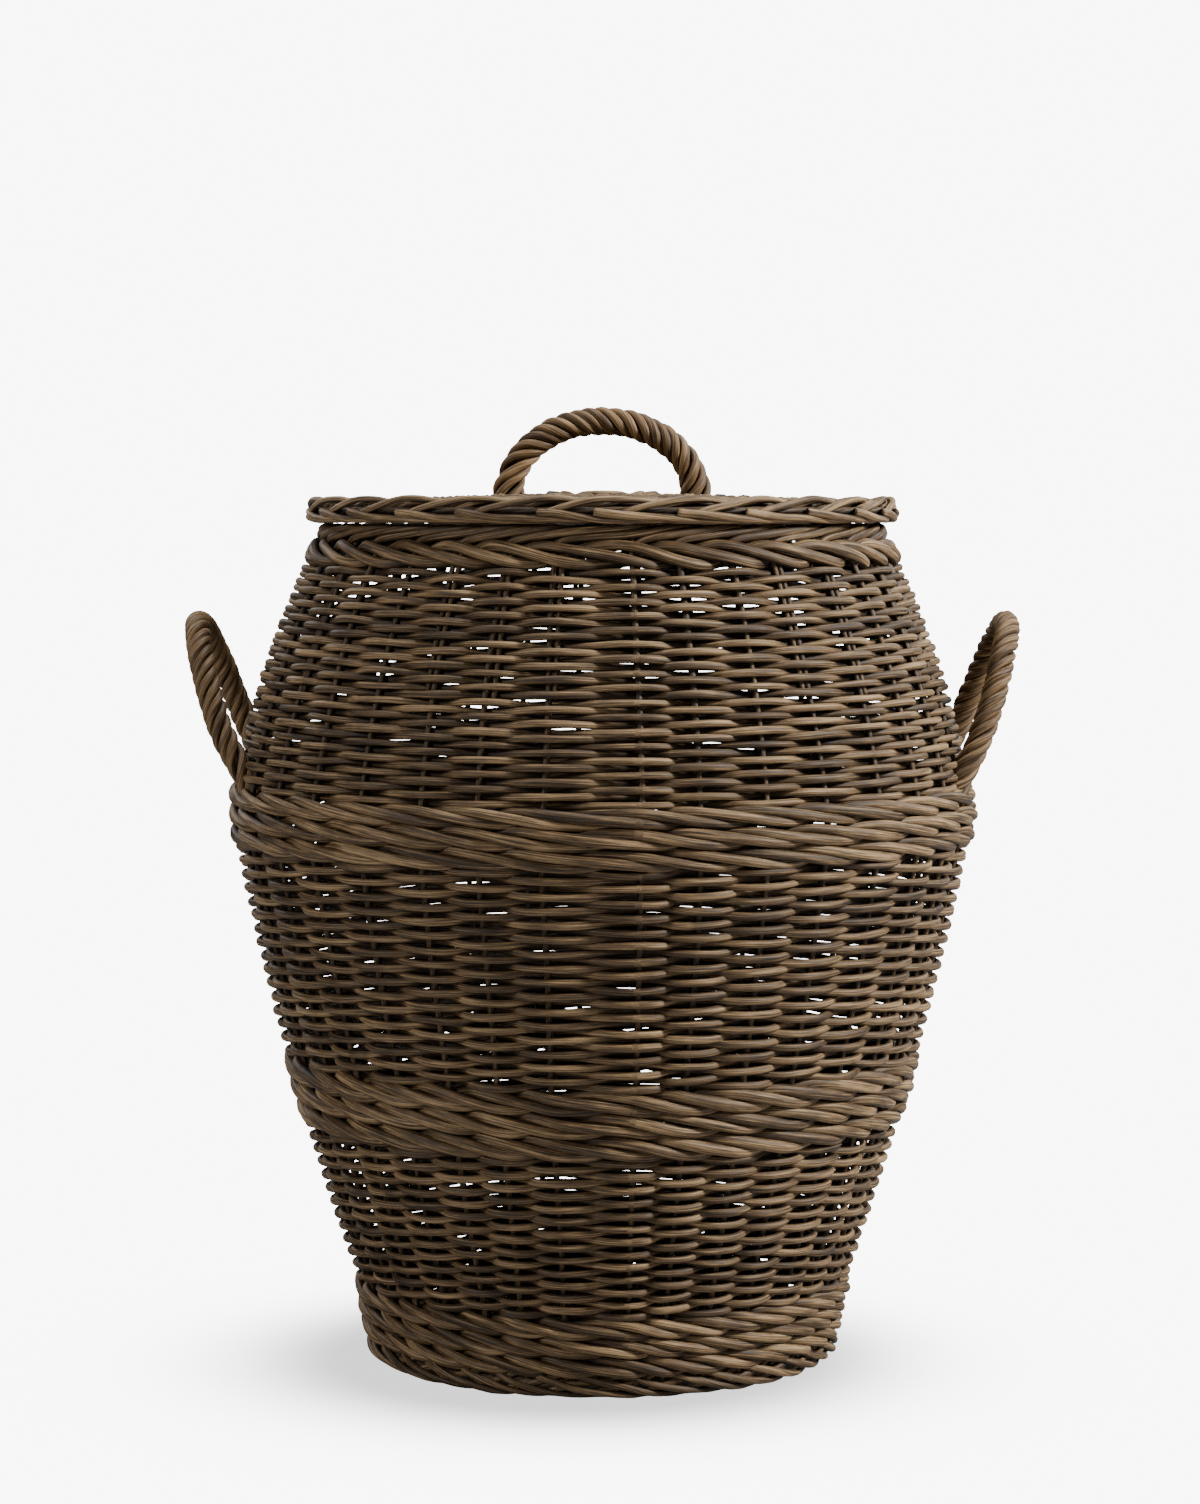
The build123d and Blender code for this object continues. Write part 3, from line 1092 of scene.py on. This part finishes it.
@dataclass
class RopeHandle:
    """Arched handle of rods laid up as a rope round a liner rod.

    Attributes:
        name: name of the pieces, and the start of the names of its two CAD nodes.
        half: half the distance between the legs.
        rise: height of the arch's middle line over its feet.
        depth: length of leg below the feet.
        body: the body that carries it.
        origin: place of the arch's base.
        turn: turn of the arch about Z, in degrees; at 0 it lies along X.
        lean: lean of the arch towards its facing side, in degrees.
        strands: strands in the rope.
        rope: radius of the rope.
        strand: half the thickness of a strand.
        wide: half the width of a strand.
        liner: radius of the liner rod.
        pitch: length of one full twist at the top of the arch.
        slack: how much longer a twist is at the feet, as a share.
        splay: how much wider the strands stand at the feet.
        splay_over: length over which they do.
        tuck: how far the first and the last foot bend in towards the weave.
        tuck_over: length over which they bend.
        samples: samples along the rope.
    """

    name: str
    half: float
    rise: float
    depth: float
    body: Body
    origin: tuple[float, float, float]
    turn: float = 0.0
    lean: float = 0.0
    strands: int = 5
    rope: float = 8.7
    strand: float = 2.85
    wide: float = 3.1
    liner: float = 3.4
    pitch: float = 42.0
    slack: float = 0.6
    splay: float = 0.35
    splay_over: float = 16.0
    tuck: tuple[float, float] = (0.0, 0.0)
    tuck_over: float = 38.0
    samples: int = 240

    def axes(self) -> tuple[np.ndarray, np.ndarray, np.ndarray]:
        """Directions across, up and through the arch.

        Returns:
            Three unit vectors.
        """
        turn, lean = radians(self.turn), radians(self.lean)
        across = np.array([np.cos(turn), np.sin(turn), 0.0])
        out = np.array([np.sin(turn), -np.cos(turn), 0.0])
        up = np.cos(lean) * np.array([0.0, 0.0, 1.0]) + np.sin(lean) * out
        return across, up, np.cross(across, up)

    def line(self) -> tuple[np.ndarray, np.ndarray, np.ndarray]:
        """Middle line of the rope, evenly spaced along its length.

        Returns:
            Points, distances along, and the direction away from the arch's centre.
        """
        across, up, through = self.axes()
        turn = np.linspace(0, np.pi, 400)
        x = np.concatenate([[self.half], self.half * np.cos(turn), [-self.half]])
        y = np.concatenate([[-self.depth], self.rise * np.sin(turn), [-self.depth]])
        gone = np.concatenate([[0], np.cumsum(np.hypot(np.diff(x), np.diff(y)))])
        at = np.linspace(0, gone[-1], self.samples)
        x, y = np.interp(at, gone, x), np.interp(at, gone, y)
        tuck = self.tuck[0] * np.exp(-((at / self.tuck_over) ** 2))
        tuck = tuck + self.tuck[1] * np.exp(-(((at[-1] - at) / self.tuck_over) ** 2))
        points = np.array(self.origin) + x[:, None] * across + y[:, None] * up
        points = points - tuck[:, None] * through
        dx, dy = np.gradient(x), np.gradient(y)
        size = np.hypot(dx, dy)
        away = (dy / size)[:, None] * across - (dx / size)[:, None] * up
        return points, at, away

    def build(self, rng: np.random.Generator) -> None:
        """Builds the rope and its liner.

        Each strand turns about the middle line at the rope's radius less its own. It turns once
        in a pitch at the top and less often near the feet, where the strands also stand wider as
        they spread into the weave.

        Args:
            rng: source of randomness.
        """
        points, at, away = self.line()
        through = self.axes()[2]
        start = (np.arange(self.strands) * (2 * np.pi / self.strands))[:, None]
        start = start + 0.08 * rng.normal(0, 1, (self.strands, 1))
        middle = 2 * at / at[-1] - 1
        turned = at[-1] / 2 * (middle - self.slack / (1 + self.slack) * middle**3 / 3)
        angle = start - turned[None] * (2 * np.pi / self.pitch)
        angle = angle + 0.07 * along_noise(rng, self.strands, self.samples, 14)
        foot = np.minimum(at, at[-1] - at)[None]
        spread = 1 + self.splay * np.exp(-((foot / self.splay_over) ** 2))
        reach = 1 + 0.02 * along_noise(rng, self.strands, self.samples, 16)
        reach = (self.rope - self.strand) * reach * spread
        cos, sin = np.cos(angle)[..., None], np.sin(angle)[..., None]
        off = cos * away[None] + sin * through
        centre = points[None] + reach[..., None] * off
        size = 1 + 0.05 * rng.normal(0, 1, (self.strands, 1))
        size = size * (1 + 0.03 * along_noise(rng, self.strands, self.samples, 20))
        shade = rng.uniform(0.3, 0.9, (self.strands, 1)) + 0 * angle
        rods = Rods(centre, off, self.wide * size, self.strand * size, shade, False)
        piece = rod_mesh(f"{self.name}_rope", rods, 12)
        finish_piece(piece, self.body, Slot.ROPE, f"{self.name}_wrap")

        ones = np.ones((1, self.samples))
        size = self.liner * ones
        rods = Rods(points[None], away[None], size, size, 0.4 * ones, False)
        piece = rod_mesh(f"{self.name}_liner", rods, 10)
        finish_piece(piece, self.body, Slot.STAKE, f"{self.name}_core")


# ---------------------------------------------------------------- studio


@dataclass(frozen=True)
class Softbox:
    """Area lamp that faces the basket.

    Attributes:
        name: name of the lamp.
        place: where it stands, in metres.
        size: width and height, in metres.
        watts: power.
        colour: colour of its light.
    """

    name: str
    place: tuple[float, float, float]
    size: tuple[float, float]
    watts: float
    colour: tuple[float, float, float] = (1.0, 1.0, 1.0)

    def build(self, target: bpy.types.Object) -> None:
        """Adds the lamp.

        Args:
            target: the object that it faces.
        """
        lamp = bpy.data.lights.new(self.name, "AREA")
        lamp.shape = "RECTANGLE"
        lamp.size, lamp.size_y = self.size
        lamp.energy = self.watts
        lamp.color = self.colour
        holder = bpy.data.objects.new(self.name, lamp)
        bpy.context.scene.collection.objects.link(holder)
        holder.location = self.place
        aim = np.array(target.location) - np.array(self.place)
        holder.rotation_euler = aimed(aim)


def aimed(direction: np.ndarray) -> tuple[float, float, float]:
    """Turn that points an object's -Z along a direction, with its top up.

    Args:
        direction: where to look.

    Returns:
        XYZ Euler angles.
    """
    x, y, z = direction
    return (float(np.arctan2(np.hypot(x, y), -z)), 0.0, float(np.arctan2(-x, y)))


@dataclass
class Studio:
    """Pale floor, soft lamps and the camera.

    Attributes:
        distance: of the camera from the basket's axis, in metres.
        eye: height of the camera.
        pitch: how far it looks down, in degrees.
        across: how far it stands to the right.
        lens: focal length, in millimetres.
        floor_bounce: how much light the floor gives back to the basket.
        ambient: light from all round.
        sky: brightness of the floor and the backdrop as they are seen.
        shade_centre: middle of the soft shadow painted on the floor.
        shade_ring: radius where the shade starts to fade.
        shade_fade: distance over which it fades.
        shade_stops: how dark it is, in stops.
        foot_ring: radius inside which the floor is painted nearly black, as no light reaches it.
        lamps: the lamps.
    """

    distance: float = 2.647
    eye: float = 0.5714
    pitch: float = 3.524
    across: float = -0.0016
    lens: float = 93.8
    floor_bounce: float = 0.35
    ambient: float = 0.03
    sky: float = 8.7
    shade_centre: tuple[float, float, float] = (-0.022, -0.022, 0.0)
    shade_ring: float = 0.155
    shade_fade: float = 0.07
    shade_stops: float = 2.6
    foot_ring: float = 0.147
    lamps: tuple[Softbox, ...] = field(
        default_factory=lambda: (
            Softbox("key", (2.85, -0.95, 2.1), (0.6, 0.6), 270.0, (1.0, 0.98, 0.945)),
            Softbox("fill", (-2.65, -1.8, 1.7), (0.7, 0.7), 60.0, (1.0, 0.99, 0.97)),
            Softbox("low", (0.2, -2.9, 0.35), (0.8, 0.4), 6.0, (1.0, 0.98, 0.95)),
            Softbox("top", (0.1, 0.1, 2.6), (1.0, 1.0), 58.0),
            Softbox("back_left", (-1.9, 2.3, 1.9), (1.0, 1.0), 30.0),
            Softbox("back_right", (2.1, 1.9, 1.7), (1.0, 1.0), 34.0),
        )
    )

    @staticmethod
    def seen_only(
        tree: bpy.types.NodeTree, socket: bpy.types.NodeSocket, light: float, seen: object
    ) -> None:
        """Gives an input one value as a source of light and another as it is seen.

        Args:
            tree: tree of the input.
            socket: the input.
            light: value for all other rays.
            seen: value for what the camera sees, a number or the output of a node.
        """
        wiring = Wiring(tree)
        path = tree.nodes.new("ShaderNodeLightPath")
        more = wiring.maths("SUBTRACT", seen, light)
        camera = path.outputs["Is Camera Ray"]
        wiring.feed(wiring.maths("MULTIPLY_ADD", camera, more, light), socket)

    def contact_shade(self, tree: bpy.types.NodeTree) -> bpy.types.NodeSocket:
        """Brightness of the floor, with a soft shadow painted on it under the basket.

        With q the distance outside the ring, as a share of the fade, the painted shadow makes the floor
        darker by shade_stops·exp(−q^1.5) stops. Inside the foot, where no light comes in, it is painted
        nearly black.

        Args:
            tree: tree of the floor's material.

        Returns:
            The brightness.
        """
        maths = Wiring(tree).maths
        place = tree.nodes.new("ShaderNodeTexCoord").outputs["Object"]
        off = maths("DISTANCE", place, self.shade_centre, kind="VectorMath")
        out = maths("MAXIMUM", maths("SUBTRACT", off, self.shade_ring), 0.0)
        fall = maths("POWER", maths("DIVIDE", out, self.shade_fade), 1.5)
        stops = maths("EXPONENT", maths("MULTIPLY", fall, -1.0))
        share = maths("EXPONENT", maths("MULTIPLY", stops, -self.shade_stops * log(2)))
        radius = maths("LENGTH", place, kind="VectorMath")
        # Painted shade: the floor inside the foot is nearly black.
        lit = maths("GREATER_THAN", radius, self.foot_ring)
        return maths("MULTIPLY_ADD", maths("MULTIPLY", share, self.sky), lit, 0.02)

    def build(self) -> None:
        """Adds the floor, the sky, the lamps and the camera."""
        self.build_floor()
        self.build_sky()
        target = bpy.data.objects.new("aim", None)
        bpy.context.scene.collection.objects.link(target)
        target.location = (0, 0, 0.33)
        for lamp in self.lamps:
            lamp.build(target)
        self.build_camera()

    def build_floor(self) -> None:
        """Adds the floor, which glows for the camera, with a painted shadow under the basket, and lights
        the basket softly.
        """
        size = 30.0
        corners = np.array([[-1, -1, 0], [1, -1, 0], [1, 1, 0], [-1, 1, 0]]) * size
        mesh = bpy.data.meshes.new("floor")
        mesh.from_pydata(corners.tolist(), [], [(0, 1, 2, 3)])
        floor = bpy.data.objects.new("floor", mesh)
        bpy.context.scene.collection.objects.link(floor)
        paint = bpy.data.materials.new("floor_paint")
        paint.use_nodes = True
        tree = paint.node_tree
        shader = tree.nodes["Principled BSDF"]
        self.seen_only(tree, shader.inputs["Base Color"], self.floor_bounce, 0.0)
        shader.inputs["Roughness"].default_value = 0.9
        shader.inputs["Specular IOR Level"].default_value = 0.0
        shader.inputs["Emission Color"].default_value = (1, 1, 1, 1)
        glow = self.contact_shade(tree)
        self.seen_only(tree, shader.inputs["Emission Strength"], 0.0, glow)
        mesh.materials.append(paint)

    def build_sky(self) -> None:
        """Adds the backdrop."""
        world = bpy.data.worlds.new("sky")
        world.use_nodes = True
        backdrop = world.node_tree.nodes["Background"]
        backdrop.inputs["Color"].default_value = (1, 1, 1, 1)
        self.seen_only(world.node_tree, backdrop.inputs["Strength"], self.ambient, self.sky)
        bpy.context.scene.world = world

    def build_camera(self) -> None:
        """Adds the camera."""
        camera = bpy.data.cameras.new("camera")
        camera.lens = self.lens
        camera.sensor_width = 36
        camera.clip_end = 100
        holder = bpy.data.objects.new("camera", camera)
        bpy.context.scene.collection.objects.link(holder)
        holder.location = (self.across, -self.distance, self.eye)
        holder.rotation_euler = (radians(90 - self.pitch), 0, 0)
        bpy.context.scene.camera = holder


# ---------------------------------------------------------------- the basket

# Paths of the border rods: each knot is a place in stakes, a radius and a height.
FOOT_OVER = np.array(
    [
        [0.0, 153.6, 17.0], [0.35, 156.9, 13.6], [0.85, 158.4, 9.6],
        [1.4, 157.4, 5.6], [2.0, 153.6, 2.9], [2.6, 149.6, 3.1],
        [3.1, 146.8, 6.2], [3.6, 146.2, 10.5],
    ]
)
FOOT_UNDER = np.array(
    [
        [0.0, 151.8, 16.0], [-0.5, 154.4, 12.4], [-1.1, 154.6, 8.0],
        [-1.7, 152.2, 5.2], [-2.3, 149.2, 6.0], [-2.8, 148.2, 10.0],
    ]
)
RIM_PATH = np.array(
    [
        [-0.1, 187.6, 549.0], [0.2, 189.2, 553.6], [0.9, 189.6, 556.6],
        [1.6, 188.2, 559.4], [2.2, 184.6, 560.6], [2.8, 180.4, 559.4],
        [3.3, 178.0, 556.6], [3.8, 179.0, 554.0],
    ]
)
LID_OVER = np.array(
    [
        [0.15, 194.4, 568.5], [0.35, 195.9, 571.6], [0.7, 196.2, 575.6],
        [1.05, 195.0, 578.4], [1.4, 192.4, 578.7], [1.7, 189.4, 576.8],
        [2.0, 186.5, 574.0],
    ]
)
LID_UNDER = np.array(
    [
        [0.0, 197.0, 570.6], [0.3, 197.5, 569.1], [0.7, 197.1, 567.1],
        [1.1, 195.6, 566.0], [1.6, 192.5, 565.7], [2.2, 188.0, 565.8],
        [2.8, 183.0, 566.4],
    ]
)
LID_FAN = np.array(
    [
        [0.35, 190.4, 572.0], [0.65, 191.0, 575.2], [0.95, 189.6, 577.2],
        [1.35, 186.8, 578.0], [1.8, 181.0, 577.3], [2.3, 174.0, 575.4],
    ]
)


def side_handle(name: str, turn: float, tuck: tuple[float, float]) -> RopeHandle:
    """One side handle.

    Args:
        name: left or right.
        turn: turn of its arch about Z, in degrees.
        tuck: how far its two feet bend in.

    Returns:
        The handle, ready to build.
    """
    side = 1.0 if name == "right" else -1.0
    return RopeHandle(
        f"side_handle_{name}",
        half=62.0,
        rise=121.0,
        depth=8.0,
        body=Body.BASKET,
        origin=(side * 236.0, 0.0, 380.0),
        turn=turn,
        lean=17.5,
        tuck=tuck,
    )


def side_parts() -> list[object]:
    """Parts of the side, from the foot up.

    Returns:
        Objects with a build method.
    """
    foot, foot_core, foot_rod = "foot_border", (151.0, 9.0), 2.4
    rim, rim_core, rim_rod = "rim_border", (183.2, 557.5), 2.5
    return [
        Stakes(),
        Border("foot_border_over", foot, SIDE, FOOT_OVER, foot_core, foot_rod, fill=4.6),
        Border("foot_border_under", foot, SIDE, FOOT_UNDER, foot_core, foot_rod),
        Wale("foot_wale", SIDE, BORDER_TOP, FOOT_WALE_TOP, 3),
        WovenZone("lower_weave", SIDE, FOOT_WALE_TOP, LOWER_WEAVE_TOP, 25),
        Wale("lower_wale", SIDE, LOWER_WEAVE_TOP, LOWER_WALE_TOP, 3, rod=3.8),
        WovenZone("middle_weave", SIDE, LOWER_WALE_TOP, MIDDLE_WEAVE_TOP, 31),
        Wale("waist_wale", SIDE, MIDDLE_WEAVE_TOP, WAIST_WALE_TOP, 3),
        WovenZone("upper_weave", SIDE, WAIST_WALE_TOP, UPPER_WEAVE_TOP, 33),
        Wale("rim_wale", SIDE, UPPER_WEAVE_TOP, RIM_WALE_TOP, 1, rod=3.6, rise=0.31),
        # The rim border's darker tones are painted shade under the lid's overhang.
        Border(rim, rim, SIDE, RIM_PATH, rim_core, rim_rod, shades=(0.1, 0.6), fill=5.2),
    ]


def base_parts() -> list[object]:
    """Parts of the base.

    Returns:
        Objects with a build method.
    """
    weave = {"weaver": 2.6, "swing": 3.8, "recess_shade": 0.3, "samples": 8, "sides": 8}
    return [
        CrossedSticks("base_sticks", BASE, 8, 9, pitch=4.6, reach=139.0, lift=2.4),
        Binding("base_binding", "base_weave", BASE, 24.0, 42.0),
        WovenZone("base_weave", BASE, 42.0, 144.0, 23, **weave),
    ]


def lid_parts() -> list[object]:
    """Parts of the lid.

    Returns:
        Objects with a build method.
    """
    weave = {"weaver": 2.65, "swing": 3.5, "recess_shade": 0.3, "samples": 10, "sides": 8}
    # The lid border's lighter tones are painted light for the lid's lit top, and also offset the painted
    # crevice shade.
    over = {"shades": (0.55, 1.2), "fill": 4.8}
    under = {"shades": (0.55, 1.2), "fill": 2.4}
    fan = {"shades": (0.5, 1.1), "beside": (0.0, 0.2, 0.4)}
    rim = "lid_border"
    return [
        CrossedSticks("lid_sticks", LID, 6, 7, pitch=4.4, reach=184.0, lift=2.2, stick=1.9),
        Binding("lid_binding", "lid_weave", LID, 19.0, 36.0),
        WovenZone("lid_weave", LID, 36.0, 168.0, 30, **weave),
        Wale("lid_wale", LID, 168.0, 177.0, 1, rod=2.3, depth=0.75),
        Border("lid_border_over", rim, LID, LID_OVER, (187.6, 568.3), 2.3, **over),
        Border("lid_border_under", rim, LID, LID_UNDER, (192.0, 571.4), 2.45, **under),
        Border("lid_border_fan", rim, LID, LID_FAN, (184.0, 568.0), 1.7, **fan),
        RopeHandle("lid_handle", 63.0, 49.6, 8.0, Body.LID, (0.0, 0.0, 582.0), rope=9.6),
    ]


def basket_parts() -> list[object]:
    """Every sub-assembly, in building order.

    Returns:
        Objects with a build method.
    """
    handles = [side_handle("right", 92.6, (8.0, 9.0)), side_handle("left", -93.4, (12.0, 6.0))]
    return side_parts() + base_parts() + handles + lid_parts()


def main() -> None:
    """Builds the basket and the studio."""
    logging.basicConfig(level=logging.INFO, format="%(message)s")
    grain = grain_group()
    for finish in FINISHES:
        MATERIALS[finish.slot] = finish.material(grain)
    rng = np.random.default_rng(SEED)
    for part in basket_parts():
        part.build(rng)
    Studio().build()


if __name__ == "__main__":
    main()
